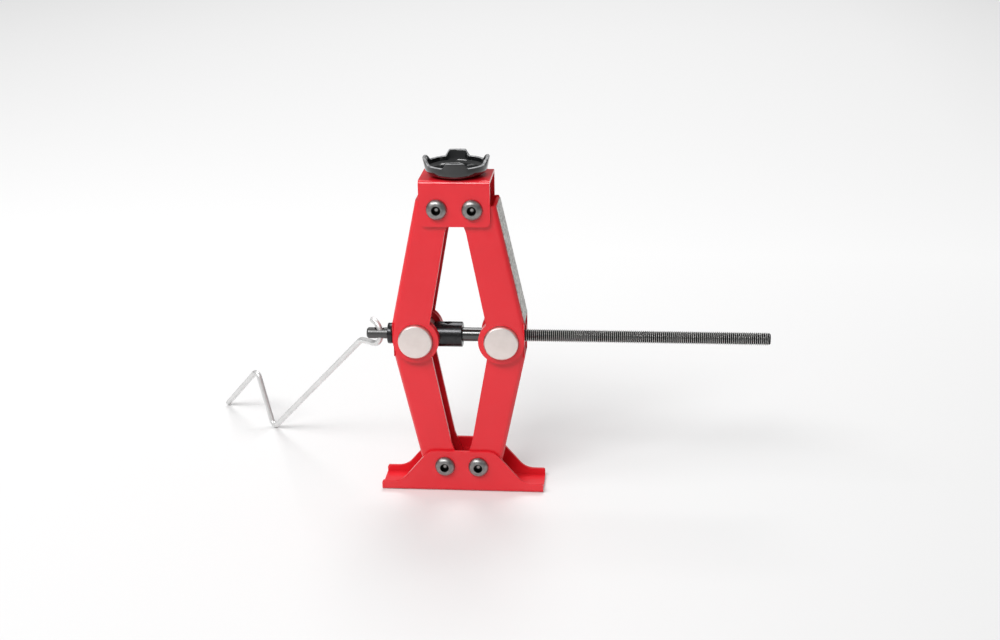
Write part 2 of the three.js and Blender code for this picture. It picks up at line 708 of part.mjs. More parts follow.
function addPivotFasteners() {
  const levels = [
    ['base', BASE_PIVOT_HEIGHT, BASE_HALF],
    ['top', TOP_PIVOT_HEIGHT, BRACKET_HALF],
  ];
  const sides = [['left', -PIVOT_HALF], ['right', PIVOT_HALF]];
  const slack = 0.05;
  for (const [level, z, wall] of levels) {
    for (const [side, x] of sides) {
      const seat = -wall - slack;
      const length = 2 * wall + 2 * slack + NUT_HEIGHT + 0.4;
      const screw = geometryOf(buttonScrew(length, 'y'));
      place(`${level}_pivot_screw_${side}`, screw, darkNickel, x, seat, z);
      place(`${level}_pivot_nut_${side}`, geometryOf(nut('y')), darkNickel, x, wall + slack, z);
      const bush = geometryOf(sleeve(wall - SHEET - slack));
      place(`${level}_pivot_sleeve_${side}`, bush, plainSteel, x, 0, z);
    }
  }
}

function addTrunnions() {
  const geometry = geometryOf(trunnionSolid());
  place('left_trunnion', geometry, turnedAluminium, -TRUNNION_X, 0, TRUNNION_Z);
  place('right_trunnion', geometry.clone(), turnedAluminium, TRUNNION_X, 0, TRUNNION_Z);
  const thickness = UPPER_HALF - SHEET - LOWER_HALF - 2 * SIDE_PLAY;
  const middle = LOWER_HALF + SIDE_PLAY + thickness / 2;
  for (const [side, x] of [['left', -TRUNNION_X], ['right', TRUNNION_X]]) {
    for (const [face, sign] of [['front', -1], ['rear', 1]]) {
      const washer = turned([
        [EAR_RADIUS - 0.4, -thickness / 2],
        [EAR_RADIUS - 0.4, thickness / 2],
      ], 'y', 20, TRUNNION_RADIUS + PIN_PLAY);
      place(`${side}_${face}_spacer`, geometryOf(washer), plainSteel, x, sign * middle, TRUNNION_Z);
    }
  }
}

function addScrew() {
  const z = TRUNNION_Z;
  const seat = TRUNNION_FLAT + SIDE_PLAY;
  const thrustRight = DRIVE_END_RIGHT + SIDE_PLAY + THRUST_THICKNESS;
  const sleeveLeft = thrustRight + SIDE_PLAY;
  place('lead_screw', geometryOf(screwSolid()), blackSteel, 0, 0, z);
  place('thrust_washer', geometryOf(ring(THRUST_RADIUS, thrustRight - THRUST_THICKNESS, thrustRight)),
    darkNickel, 0, 0, z);
  place('thrust_sleeve', geometryOf(ring(THRUST_RADIUS - 0.5, sleeveLeft, -TRUNNION_X - seat)),
    darkNickel, 0, 0, z);
  place('stop_collar', geometryOf(collarSolid(-TRUNNION_X + seat)), blackSteel, 0, 0, z);
  place('collar_set_screw', geometryOf(setScrewSolid()), blackSteel, SET_SCREW_X, 0, z);
  place('crank_handle', crankGeometry(), brightWire);
}

function addSaddle() {
  const floor = 1.0;
  const cup = geometryOf(saddleSolid().rotate([0, 0, SADDLE_TURN]));
  place('saddle', cup, blackPlastic, 0, 0, BRACKET_TOP);
  const shank = floor + SHEET + NUT_HEIGHT - 0.2;
  const screw = geometryOf(buttonScrew(shank, 'z').rotate([180, 0, 0]));
  place('saddle_screw', screw, blackSteel, 0, 0, BRACKET_TOP + floor);
  place('saddle_nut', geometryOf(nut('z')), plainSteel, 0, 0, BRACKET_TOP - SHEET - NUT_HEIGHT);
}

addFrame();
addArms();
addLabel();
addPivotFasteners();
addTrunnions();
addScrew();
addSaddle();

export default jack;
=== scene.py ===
"""Looks of a small red scissor jack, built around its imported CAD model."""

import math

import bmesh
import bpy
from mathutils import Matrix, Vector


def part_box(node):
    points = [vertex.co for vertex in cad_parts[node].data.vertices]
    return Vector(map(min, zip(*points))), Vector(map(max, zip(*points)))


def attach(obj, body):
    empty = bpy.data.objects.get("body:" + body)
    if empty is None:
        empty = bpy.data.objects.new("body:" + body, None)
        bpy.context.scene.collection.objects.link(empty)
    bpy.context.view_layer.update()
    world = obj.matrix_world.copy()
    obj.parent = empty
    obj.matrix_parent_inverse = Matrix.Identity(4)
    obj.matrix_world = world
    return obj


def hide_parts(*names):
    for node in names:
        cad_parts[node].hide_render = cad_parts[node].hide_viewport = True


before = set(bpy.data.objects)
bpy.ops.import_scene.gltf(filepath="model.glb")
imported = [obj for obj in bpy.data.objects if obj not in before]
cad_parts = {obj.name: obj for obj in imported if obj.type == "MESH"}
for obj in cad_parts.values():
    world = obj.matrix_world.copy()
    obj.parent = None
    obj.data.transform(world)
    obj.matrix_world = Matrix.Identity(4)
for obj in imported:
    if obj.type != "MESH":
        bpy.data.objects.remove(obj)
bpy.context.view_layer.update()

MM = 0.001
SMOOTH_ANGLE = math.radians(32)  # a steeper edge than this stays sharp

# ---------- camera ----------

CAMERA_PLACE = Vector((43.254, -349.390, 170.845)) * MM
CAMERA_TURN = 7.057  # degrees round from the front, towards the threaded end
CAMERA_RISE = 20.277  # degrees above level
CAMERA_YAW = -1.507  # this and the next two turn the view about its own axes, in degrees
CAMERA_PITCH = 0.496
CAMERA_ROLL = 1.527
SENSOR = 36.0  # mm
FOCAL = 54.24

# ---------- sizes that the CAD boxes don't give, in mm ----------

SEAT_GAP = 0.02  # under a head or a nut
CUT_EDGE = 0.14  # rounding along the cut edges of the base and the bracket
ARM_EDGE = 0.06
LABEL_EDGE = 0.04
FLAT_ANGLE = math.radians(0.5)  # faces that turn by less than this become one
EDGE_ANGLE = math.radians(40)  # only an edge sharper than this is rounded

SOCKET_FLATS = 1.85
SOCKET_DEPTH = 0.74  # as a share of the head's height
HEAD_CROWN = 0.46  # radius of the head's flat top, as a share of the head's
HEAD_LIP = 0.14  # upright edge of the head
DOME_STEPS = 9
SHANK_RADIUS = 1.25
SOCKET_TWIST = {"left": 12, "right": 38}  # degrees
PIVOT_SLEEVE_BORE = 1.3
NUT_FLATS = 5.0
NUT_BORE = 1.27
NUT_BODY = 0.68  # height of the hexagon, as a share of the nut's

TRUNNION_EDGE = 0.28
TRUNNION_FLAT = 3.95  # from the axis to the flats round the bore
TRUNNION_FLAT_RADIUS = 3.2
SPACER_BORE = 4.35

THREAD_PITCH = 0.5
THREAD_DEPTH = 0.32
THREAD_START = 6.7
THREAD_RADIUS = 1.62
THREAD_STEPS = 8  # for each pitch
CREST_WIDTH = 0.12  # as a share of half a pitch
FLANK_WIDTH = 0.7
THREAD_CHAMFER = 0.42
CREST_START, CREST_FULL = 0.19, 0.1  # depths at which the painted highlight of the crests sets in and is full
SCREW_BORE = 1.82  # of what sits on the screw
DRIVE_END = -18.3
DRIVE_END_RADIUS = 1.4
DRIVE_END_NOSE = [(0.42, 0.0), (0.3, 0.04), (0.06, 0.3), (0.0, 0.45)]  # (inset, along)
PLAIN_TONE = 0.15  # how light the smooth parts of the screw are painted, where the crests' painted highlight has 1 and the roots' painted shade 0
EYE_X = -20.35
EYE_RADIUS = 1.06
EYE_FLARE = [(0.0, 0.95), (0.16, 1.25), (1.2, 3.0)]  # (widening, distance from the middle)

COLLAR_EDGE = 0.24
COLLAR_HOLE = 0.93
SET_SCREW_RADIUS = 0.88
SET_SCREW_FLATS = 0.9

WIRE_RADIUS = 0.75
WIRE_TIP = [(0.35, 0.75), (0.65, 0.93), (0.9, 1.0)]  # (share of the way in, share of the radius)
CRANK_TURN = math.radians(41)  # of the crank's plane, from the screw's axis towards the rear
HOOK_RADIUS = 3.1
HOOK_OUT = 2.86  # from the eye to the middle of the hook
HOOK_DROP = 0.26  # of the hook's middle, which the crank swings about, below the screw's axis
HOOK_START = 92  # degrees
HOOK_SWEEP = 174
HOOK_STEPS = 36
NECK = (7.6, -0.35)  # (distance from the eye, height above the hook's lower end)
SHAFT_FOOT = (49.4, -0.25)  # this and the next two are (distance from the eye, height)
THROW_TOP = (55.7, 15.4)
HANDLE_END = (71.8, 0.77)
NECK_BEND = 3.0  # radius of the wire's middle in the bend
THROW_BEND = 1.5

SADDLE_RADIUS = 7.6
SADDLE_WALL = 0.8
SADDLE_HOLE = 1.35
SADDLE_FLOOR = 1.0
SADDLE_WALL_START = 2.0  # height at which the bowl turns into an upright wall
SADDLE_RIM = 3.1
SADDLE_FLARE = 0.52  # outwards lean of a lobe's top
SADDLE_TURN = math.radians(4)
SADDLE_UNDERSIDE = [(4.2, 0.0), (4.6, 0.02), (5.3, 0.12), (6.1, 0.34), (6.85, 0.74), (7.35, 1.2),
                    (7.55, 1.65)]
SADDLE_BOWL = [(6.6, 1.75), (6.2, 1.45), (5.5, 1.18), (4.8, 1.03), (4.2, 1.0), (2.6, 1.0)]
SADDLE_LIP = [(0.95, 0.05), (0.99, 0.17), (1.0, 0.32), (1.0, 0.48), (0.99, 0.63), (0.95, 0.75)]
LOBE_HALF = 3.3  # half a lobe's width at its foot, along the rim
LOBE_SHOULDER = 1.5
RIM_HIGHLIGHT_HEIGHT = 2.2  # the saddle's upward faces above this get a painted highlight

# ---------- studio, in metres and watts ----------

FRONT_LIGHT = 0.3  # strengths of the sky at the horizon
BACK_LIGHT = 0.13
RIGHT_SHARE = 0.45  # what is left of them at the right
ZENITH_LIGHT = 0.48
FLOOR_REACH = 4.0
FLOOR_DROP = 0.00002
FLOOR_FRONT, FLOOR_BACK = 0.66, 0.94  # how much light the floor returns; it is painted darker towards the front as shade
FLOOR_RIGHT = 0.5  # what is left of it far to the right, a painted shade
JACK_MIDDLE = (0, 0, 0.04)
LIGHTS = {  # (place, aim, size, power)
    "key": ((-0.2, -0.46, 0.58), JACK_MIDDLE, (0.45, 0.2), 3.7),
    "side": ((-0.62, -0.26, 0.72), JACK_MIDDLE, (0.3, 0.2), 1.4),
    "far_floor": ((0.0, 0.85, 1.2), (-0.15, 0.8, 0), (0.8, 0.6), 8.4),
}

# ---------- meshes ----------


def link(name, data):
    item = bpy.data.objects.new(name, data)
    bpy.context.scene.collection.objects.link(item)
    return item


def shade(mesh):
    mesh.polygons.foreach_set("use_smooth", [True] * len(mesh.polygons))
    mesh.set_sharp_from_angle(angle=SMOOTH_ANGLE)


def clean(mesh):
    """Merges doubled points, turns every face outwards and shades the mesh."""
    edit = bmesh.new()
    edit.from_mesh(mesh)
    bmesh.ops.remove_doubles(edit, verts=edit.verts, dist=1e-7)
    bmesh.ops.recalc_face_normals(edit, faces=edit.faces)
    edit.to_mesh(mesh)
    edit.free()
    shade(mesh)


def weigh_normals(piece):
    """Keeps the flat faces of a piece flat beside its rounded edges."""
    normals = piece.modifiers.new("normals", "WEIGHTED_NORMAL")
    normals.keep_sharp = True


def axis_frame(origin, axis):
    """A placement whose local Z points along axis. Its local Y leans upwards, or to the rear
    where the axis itself is upright."""
    z = Vector(axis).normalized()
    guide = Vector((0, 0, 1))
    if abs(guide.dot(z)) > 0.9:
        guide = Vector((0, 1, 0))
    x = guide.cross(z).normalized()
    y = z.cross(x)
    turn = Matrix((x, y, z)).transposed().to_4x4()
    return Matrix.Translation(Vector(origin)) @ turn


def revolve(name, rows, place, sides=96, ring=False):
    """A body of turned rows about its local Z. A row is (radius, height) in mm, or a function of
    the angle that returns one. Radius 0 closes an end, and ring joins the last row to the first."""
    vertices = []
    loops = []
    for row in rows:
        if not callable(row) and row[0] == 0:
            vertices.append((0, 0, row[1] * MM))
            loops.append([len(vertices) - 1] * sides)
            continue
        loop = []
        for i in range(sides):
            angle = 2 * math.pi * i / sides
            radius, height = row(angle) if callable(row) else row
            point = (radius * math.cos(angle), radius * math.sin(angle), height)
            vertices.append(tuple(c * MM for c in point))
            loop.append(len(vertices) - 1)
        loops.append(loop)
    if ring:
        loops.append(loops[0])
    faces = []
    for low, high in zip(loops, loops[1:]):
        for i in range(sides):
            j = (i + 1) % sides
            corners = [low[i], low[j], high[j], high[i]]
            faces.append([c for k, c in enumerate(corners) if c not in corners[:k]])
    mesh = bpy.data.meshes.new(name)
    mesh.from_pydata(vertices, [], [f for f in faces if len(f) > 2])
    clean(mesh)
    piece = link(name, mesh)
    piece.matrix_world = place
    return piece


def mirrored(rows):
    """The rows of a body's upper half, after their mirror image below."""
    return [(radius, -height) for radius, height in reversed(rows)] + rows


def hexagon(flats):
    """Radius of a hexagon with that distance across its flats, as a function of the angle."""
    return lambda angle: flats / 2 / math.cos((angle % (math.pi / 3)) - math.pi / 6)


def carve(piece, cutters):
    """Cuts the cutters out of the piece and removes them."""
    bpy.context.view_layer.update()
    for cutter in cutters:
        modifier = piece.modifiers.new("cut", "BOOLEAN")
        modifier.operation = "DIFFERENCE"
        modifier.solver = "EXACT"
        modifier.object = cutter
    evaluated = piece.evaluated_get(bpy.context.evaluated_depsgraph_get())
    mesh = bpy.data.meshes.new_from_object(evaluated)
    piece.modifiers.clear()
    piece.data = mesh
    for cutter in cutters:
        bpy.data.objects.remove(cutter)
    shade(piece.data)
    weigh_normals(piece)


def tube(name, points, radius, sides):
    """A round wire along the points, in metres, with rounded ends."""
    directions = []
    for i in range(len(points)):
        before = points[max(i - 1, 0)]
        after = points[min(i + 1, len(points) - 1)]
        directions.append((after - before).normalized())
    side = directions[0].orthogonal().normalized()
    stations = []
    for point, direction in zip(points, directions):
        side = (side - direction * side.dot(direction)).normalized()
        stations.append((point, direction, side, radius))

    def cap(station, outwards):
        """The station's circle, shrinking towards the wire's end, from the end inwards."""
        point, direction, side = station[:3]
        return [(point + direction * outwards * radius * 0.5 * (1 - share), direction, side,
                 radius * width) for share, width in WIRE_TIP]

    stations = cap(stations[0], -1) + stations[1:-1] + cap(stations[-1], 1)[::-1]
    vertices = []
    for point, direction, side, width in stations:
        other = direction.cross(side)
        for i in range(sides):
            angle = 2 * math.pi * i / sides
            vertices.append(point + (side * math.cos(angle) + other * math.sin(angle)) * width)
    faces = [list(range(sides))[::-1]]
    for k in range(len(stations) - 1):
        low, high = k * sides, (k + 1) * sides
        for i in range(sides):
            j = (i + 1) % sides
            faces.append([low + i, low + j, high + j, high + i])
    faces.append([(len(stations) - 1) * sides + i for i in range(sides)])
    mesh = bpy.data.meshes.new(name)
    mesh.from_pydata(vertices, [], faces)
    clean(mesh)
    return link(name, mesh)


# ---------- materials ----------


class Paint:
    """A Principled material with short helpers for its procedural detail."""

    def __init__(self, name, colour, roughness, metallic=0.0):
        self.material = bpy.data.materials.new(name)
        self.material.use_nodes = True
        self.nodes = self.material.node_tree.nodes
        self.links = self.material.node_tree.links
        self.shader = self.nodes["Principled BSDF"]
        self.set("Base Color", (*colour, 1))
        self.set("Roughness", roughness)
        self.set("Metallic", metallic)
        self.material.diffuse_color = (*colour, 1)
        self.coordinates = self.node("ShaderNodeTexCoord").outputs["Object"]
        parts = self.node("ShaderNodeSeparateXYZ")
        self.links.new(self.coordinates, parts.inputs["Vector"])
        self.across, self.aside, self.along = parts.outputs
        self.relief = None

    def node(self, kind, **settings):
        node = self.nodes.new(kind)
        for key, value in settings.items():
            setattr(node, key, value)
        return node

    def set(self, socket, value):
        self.shader.inputs[socket].default_value = value

    def feed(self, socket, source):
        self.links.new(source, self.shader.inputs[socket])

    def coat(self, weight, roughness):
        self.set("Coat Weight", weight)
        self.set("Coat Roughness", roughness)

    def noise(self, scale, detail=2.0):
        """Noise with that many cells to the metre."""
        noise = self.node("ShaderNodeTexNoise")
        noise.inputs["Scale"].default_value = scale
        noise.inputs["Detail"].default_value = detail
        self.links.new(self.coordinates, noise.inputs["Vector"])
        return noise.outputs["Fac"]

    def math(self, operation, first, second=0.0):
        node = self.node("ShaderNodeMath", operation=operation)
        for socket, value in zip(node.inputs, (first, second)):
            if isinstance(value, (int, float)):
                socket.default_value = value
            else:
                self.links.new(value, socket)
        return node.outputs[0]

    def spread(self, source, low, high, from_low=0.3, from_high=0.7):
        """Stretches a source's from_low..from_high to low..high."""
        node = self.node("ShaderNodeMapRange")
        self.links.new(source, node.inputs["Value"])
        for socket, value in (("From Min", from_low), ("From Max", from_high),
                              ("To Min", low), ("To Max", high)):
            node.inputs[socket].default_value = value
        return node.outputs["Result"]

    def vary_roughness(self, source, low, high):
        self.feed("Roughness", self.spread(source, low, high))

    def vary_colour(self, source, first, second, low=0.3, high=0.7):
        ramp = self.node("ShaderNodeValToRGB")
        for element, place, colour in zip(ramp.color_ramp.elements, (low, high), (first, second)):
            element.position = place
            element.color = (*colour, 1)
        self.links.new(source, ramp.inputs["Fac"])
        self.feed("Base Color", ramp.outputs["Color"])

    def emboss(self, source, height, strength):
        """Adds relief of that height, in mm, to what is there already."""
        bump = self.node("ShaderNodeBump")
        bump.inputs["Distance"].default_value = height * MM
        bump.inputs["Strength"].default_value = strength
        self.links.new(source, bump.inputs["Height"])
        if self.relief is not None:
            self.links.new(self.relief, bump.inputs["Normal"])
        self.relief = bump.outputs["Normal"]
        self.feed("Normal", self.relief)

    def radius(self):
        """Distance from the local Z."""
        across = self.math("MULTIPLY", self.across, self.across)
        aside = self.math("MULTIPLY", self.aside, self.aside)
        return self.math("SQRT", self.math("ADD", across, aside))

    def rings(self, pitch):
        """Fine rings about the local Z, as a lathe tool leaves them."""
        turns = self.math("MULTIPLY", self.radius(), 2 * math.pi / (pitch * MM))
        return self.math("SINE", turns)


def red_powder_coat():
    """Satin red, with the slight orange peel of a baked coat."""
    paint = Paint("red_powder_coat", (0.72, 0.012, 0.022), 0.34)
    paint.vary_colour(paint.noise(70, detail=3), (0.70, 0.011, 0.020), (0.74, 0.013, 0.024))
    paint.vary_roughness(paint.noise(400, detail=4), 0.29, 0.38)
    paint.set("Specular IOR Level", 0.3)
    paint.coat(weight=0.5, roughness=0.14)
    paint.emboss(paint.noise(1500), height=0.012, strength=0.35)
    paint.emboss(paint.noise(5200), height=0.003, strength=0.35)
    return paint.material


def machined_aluminium():
    """Pale metal with the rings of the lathe."""
    paint = Paint("machined_aluminium", (0.84, 0.755, 0.72), 0.42, metallic=1.0)
    paint.vary_colour(paint.noise(350, detail=4), (0.81, 0.725, 0.69), (0.87, 0.785, 0.75))
    paint.vary_roughness(paint.noise(900, detail=3), 0.38, 0.5)
    paint.emboss(paint.rings(pitch=0.16), height=0.002, strength=0.5)
    paint.emboss(paint.noise(4000, detail=3), height=0.004, strength=0.3)
    return paint.material


def dark_nickel():
    """Grey plating, painted black in a screw's socket as shade, with a painted glint at the
    socket's middle.
    """
    paint = Paint("dark_nickel", (0.3, 0.295, 0.29), 0.2, metallic=1.0)
    in_head = paint.math("GREATER_THAN", paint.along, 0.0)
    # Painted shade blackens the socket, and a painted glint lightens its middle.
    inside = paint.spread(paint.radius(), 0.98, 0.0, 1.05 * MM, 1.2 * MM)
    middle = paint.spread(paint.radius(), 0.42, 0.0, 0.22 * MM, 0.5 * MM)
    outside = paint.math("SUBTRACT", 1.0, paint.math("MULTIPLY", in_head, inside))
    drift = paint.spread(paint.noise(900, detail=3), 0.2, 0.34)
    tone_and_painted_light = paint.math("ADD", paint.math("MULTIPLY", drift, outside),
                       paint.math("MULTIPLY", in_head, middle))
    paint.vary_colour(tone_and_painted_light, (0.0, 0.0, 0.0), (1.0, 0.985, 0.965), 0.0, 1.0)
    paint.vary_roughness(paint.noise(1600, detail=3), 0.33, 0.45)
    paint.emboss(paint.noise(3500), height=0.002, strength=0.3)
    return paint.material


def plain_steel():
    paint = Paint("plain_steel", (0.45, 0.45, 0.45), 0.33, metallic=1.0)
    paint.vary_roughness(paint.noise(1200, detail=3), 0.27, 0.42)
    paint.emboss(paint.noise(2500), height=0.004, strength=0.3)
    return paint.material


def black_oxide():
    paint = Paint("black_oxide", (0.06, 0.06, 0.062), 0.25, metallic=0.95)
    paint.vary_colour(paint.noise(700, detail=4), (0.038, 0.038, 0.04), (0.052, 0.052, 0.054))
    paint.vary_roughness(paint.noise(1500, detail=3), 0.21, 0.28)
    paint.emboss(paint.noise(3000, detail=3), height=0.001, strength=0.3)
    return paint.material


def threaded_rod():
    """Black oxide, painted bright on the crests of the thread as a highlight and painted dark in
    its roots as shade.
    """
    paint = Paint("threaded_rod", (0.1, 0.1, 0.103), 0.25, metallic=0.95)
    threaded = paint.math("GREATER_THAN", paint.along, THREAD_START * MM)
    smooth = paint.math("SUBTRACT", 1.0, threaded)
    drive_end = paint.math("LESS_THAN", paint.along, DRIVE_END * MM)
    # Painted light: a highlight on the crests of the thread and shade in its roots.
    painted_crest_highlight = paint.spread(paint.radius(), 0.0, 1.0, (THREAD_RADIUS - CREST_START) * MM,
                         (THREAD_RADIUS - CREST_FULL) * MM)
    painted_thread_light = paint.math("ADD", paint.math("MULTIPLY", painted_crest_highlight, threaded),
                      paint.math("MULTIPLY", smooth, PLAIN_TONE))
    paint.vary_colour(painted_thread_light, (0.01, 0.01, 0.011), (0.66, 0.66, 0.65), 0.0, 1.0)
    dull = paint.math("MULTIPLY", paint.math("ADD", threaded, drive_end), 0.2)
    drift = paint.spread(paint.noise(1500, detail=3), 0.0, 0.06)
    paint.feed("Roughness", paint.math("ADD", paint.math("ADD", dull, 0.14), drift))
    paint.emboss(paint.noise(3000, detail=3), height=0.001, strength=0.3)
    return paint.material


def bright_wire():
    paint = Paint("bright_wire", (0.72, 0.72, 0.715), 0.34, metallic=0.6)
    paint.vary_colour(paint.noise(260, detail=3), (0.68, 0.68, 0.675), (0.76, 0.76, 0.755))
    paint.vary_roughness(paint.noise(1100, detail=4), 0.28, 0.4)
    paint.emboss(paint.noise(1800, detail=3), height=0.0015, strength=0.35)
    return paint.material


def black_plastic():
    paint = Paint("black_plastic", (0.008, 0.009, 0.010), 0.15)
    paint.vary_colour(paint.noise(500, detail=3), (0.005, 0.006, 0.006), (0.010, 0.011, 0.012))
    paint.vary_roughness(paint.noise(900, detail=3), 0.11, 0.18)
    paint.set("Specular IOR Level", 0.4)
    paint.coat(weight=0.7, roughness=0.05)
    paint.emboss(paint.noise(1600, detail=3), height=0.003, strength=0.35)
    return paint.material


def rim_highlight_plastic():
    """The black of the saddle, lightened to grey along its rim as a painted highlight."""
    paint = Paint("rim_highlight_plastic", (0.1, 0.102, 0.105), 0.3)
    paint.vary_colour(paint.noise(900, detail=3), (0.14, 0.143, 0.148), (0.42, 0.425, 0.43))
    paint.vary_roughness(paint.noise(1300, detail=3), 0.2, 0.36)
    return paint.material


def grey_film():
    """A speckled grey film with nothing printed on it."""
    paint = Paint("grey_film", (0.47, 0.465, 0.44), 0.4)
    speckle = paint.noise(1300, detail=4)
    paint.vary_colour(speckle, (0.26, 0.25, 0.235), (0.68, 0.67, 0.64), 0.4, 0.6)
    paint.vary_roughness(paint.noise(800), 0.34, 0.46)
    paint.emboss(paint.noise(600), height=0.01, strength=0.3)
    return paint.material


MATERIALS = {
    build.__name__: build()
    for build in (red_powder_coat, machined_aluminium, dark_nickel, plain_steel, black_oxide,
                  threaded_rod, bright_wire, black_plastic, rim_highlight_plastic, grey_film)
}


def dress(piece, material):
    piece.data.materials.clear()
    piece.data.materials.append(MATERIALS[material])
    for polygon in piece.data.polygons:
        polygon.material_index = 0


def put(piece, body, slot, node, material=None):
    """Lets a piece ride on its body and stand for its CAD node. It is painted as its slot says,
    unless a material is named."""
    dress(piece, material or slot)
    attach(piece, body)
    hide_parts(node)


def span(node):
    """The middle of a CAD node's box, in metres, and its size, in mm."""
    low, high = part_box(node)
    return (low + high) / 2, (high - low) / MM


SCREW_Z = span("lead_screw")[0].z / MM


# ---------- sheet parts and label, as the CAD has them ----------


def round_edges(piece, width, segments):
    rounding = piece.modifiers.new("edge", "BEVEL")
    rounding.width = width * MM
    rounding.segments = segments
    rounding.limit_method = "ANGLE"
    return rounding


def finish_sheet(node, edge):
    """Rounds the cut edges of a CAD sheet part and paints it."""
    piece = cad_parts[node]
    flatten = piece.modifiers.new("flatten", "DECIMATE")
    flatten.decimate_type = "DISSOLVE"
    flatten.angle_limit = FLAT_ANGLE
    rounding = round_edges(piece, edge, 3)
    rounding.angle_limit = EDGE_ANGLE
    rounding.use_clamp_overlap = False
    rounding.miter_outer = "MITER_ARC"
    shade(piece.data)
    weigh_normals(piece)
    dress(piece, "red_powder_coat")


def build_sheet_parts():
    finish_sheet("base", CUT_EDGE)
    finish_sheet("top_bracket", CUT_EDGE)
    for level in ("lower", "upper"):
        for side in ("left", "right"):
            finish_sheet(f"{level}_{side}_arm", ARM_EDGE)


def build_label():
    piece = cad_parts["arm_label"]
    round_edges(piece, LABEL_EDGE, 2)
    shade(piece.data)
    dress(piece, "grey_film")


# ---------- fasteners ----------


def button_head(name, place, radius, height, seat, shank):
    """A hexagon socket button head on its shank. seat is the height of its underside."""
    across = hexagon(SOCKET_FLATS)
    top = seat + height
    floor = top - SOCKET_DEPTH * height
    crown = HEAD_CROWN * radius
    rows = [(0, floor - 0.18), lambda a: (across(a) * 0.75, floor - 0.05),
            lambda a: (across(a), floor), lambda a: (across(a), top - 0.09),
            lambda a: (across(a) + 0.09, top)]
    for i in range(DOME_STEPS + 1):
        lean = math.radians(8 + 82 * i / DOME_STEPS)
        rows.append((crown + (radius - crown) * math.sin(lean),
                     seat + HEAD_LIP + (height - HEAD_LIP) * math.cos(lean)))
    tip = seat - shank
    rows += [(radius - 0.03, seat + 0.05), (radius - 0.12, seat), (SHANK_RADIUS, seat),
             (SHANK_RADIUS, tip + 0.25), (SHANK_RADIUS - 0.25, tip), (0, tip)]
    return revolve(name, rows, place, sides=72)


def hex_nut(name, place, height):
    """A hexagon nut with chamfered corners and a locking collar. Its seat is at 0."""
    outer = hexagon(NUT_FLATS)
    limit = NUT_FLATS / 2 * 1.03
    body = height * NUT_BODY
    collar = NUT_FLATS / 2 - 0.3
    rows = [
        (NUT_BORE, 0.12), (NUT_BORE + 0.15, 0), lambda a: (min(outer(a), limit), 0),
        lambda a: (outer(a), max(0, outer(a) - limit) * 0.6 + 0.02),
        lambda a: (outer(a), body - max(0, outer(a) - limit) * 0.6),
        lambda a: (min(outer(a), limit), body), (collar + 0.05, height * 0.7),
        (collar, height - 0.25), (collar - 0.25, height), (NUT_BORE + 0.12, height),
        (NUT_BORE, height - 0.12),
    ]
    return revolve(name, rows, place, sides=72, ring=True)


def ring_rows(radius, bore, half, edge, shoulder, bore_edge):
    """A ring from -half to half. shoulder rounds its outer edge, bore_edge chamfers its bore."""
    return mirrored([(radius, half - edge), (radius - shoulder, half - shoulder),
                     (radius - edge, half), (bore + bore_edge, half), (bore, half - bore_edge)])


def fit_ring(node, body, slot, axis, bore, edge, material=None):
    """Puts a round ring in the place of a CAD node, as wide and as long as its box."""
    centre, size = span(node)
    direction = {"x": (1, 0, 0), "y": (0, 1, 0)}[axis]
    rows = ring_rows(size.z / 2, bore, getattr(size, axis) / 2, edge, edge * 0.3, edge)
    piece = revolve(f"{node}_detailed", rows, axis_frame(centre, direction), ring=True)
    put(piece, body, slot, node, material)


def build_pivots():
    for level, wall in (("base", "base"), ("top", "top_bracket")):
        wall_low, wall_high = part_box(wall)
        for side in ("left", "right"):
            screw = f"{level}_pivot_screw_{side}"
            nut = f"{level}_pivot_nut_{side}"
            low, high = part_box(screw)
            centre, size = span(screw)
            place = axis_frame((centre.x, wall_low.y, centre.z), (0, -1, 0))
            place = place @ Matrix.Rotation(math.radians(SOCKET_TWIST[side]), 4, "Z")
            height = (wall_low.y - low.y) / MM - SEAT_GAP
            length = (high.y - wall_low.y) / MM
            head = button_head(f"{screw}_detailed", place, size.x / 2, height, SEAT_GAP, length)
            put(head, wall, "dark_nickel", screw)
            back = axis_frame((centre.x, wall_high.y + SEAT_GAP * MM, centre.z), (0, 1, 0))
            put(hex_nut(f"{nut}_detailed", back, span(nut)[1].y), wall, "dark_nickel", nut)
            fit_ring(f"{level}_pivot_sleeve_{side}", wall, "plain_steel", "y",
                     PIVOT_SLEEVE_BORE, 0.12)


# ---------- trunnions, screw and what sits on it ----------


def build_trunnions():
    for side in ("left", "right"):
        node = f"{side}_trunnion"
        centre, size = span(node)
        half, radius, edge = size.y / 2, size.z / 2, TRUNNION_EDGE
        rows = mirrored([(radius, half - edge - 0.1), (radius - 0.04, half - edge + 0.02),
                         (radius - edge, half - 0.02), (radius - edge - 0.12, half), (0, half)])
        body = revolve(f"{node}_detailed", rows, axis_frame(centre, (0, 1, 0)), sides=128)
        reach = radius + 1
        bore = mirrored([(SCREW_BORE, reach), (0, reach)])
        cutters = [revolve("bore", bore, axis_frame(centre, (1, 0, 0)), sides=48)]
        seat = [(0, 0), (TRUNNION_FLAT_RADIUS, 0), (TRUNNION_FLAT_RADIUS, 2), (0, 2)]
        for sign in (-1, 1):
            face = centre + Vector((sign * TRUNNION_FLAT * MM, 0, 0))
            cutters.append(revolve("seat", seat, axis_frame(face, (sign, 0, 0)), sides=64))
        carve(body, cutters)
        put(body, node, "machined_aluminium", node)
        for face in ("front", "rear"):
            fit_ring(f"{side}_{face}_spacer", f"lower_{side}_arm", "plain_steel", "y",
                     SPACER_BORE, 0.05)


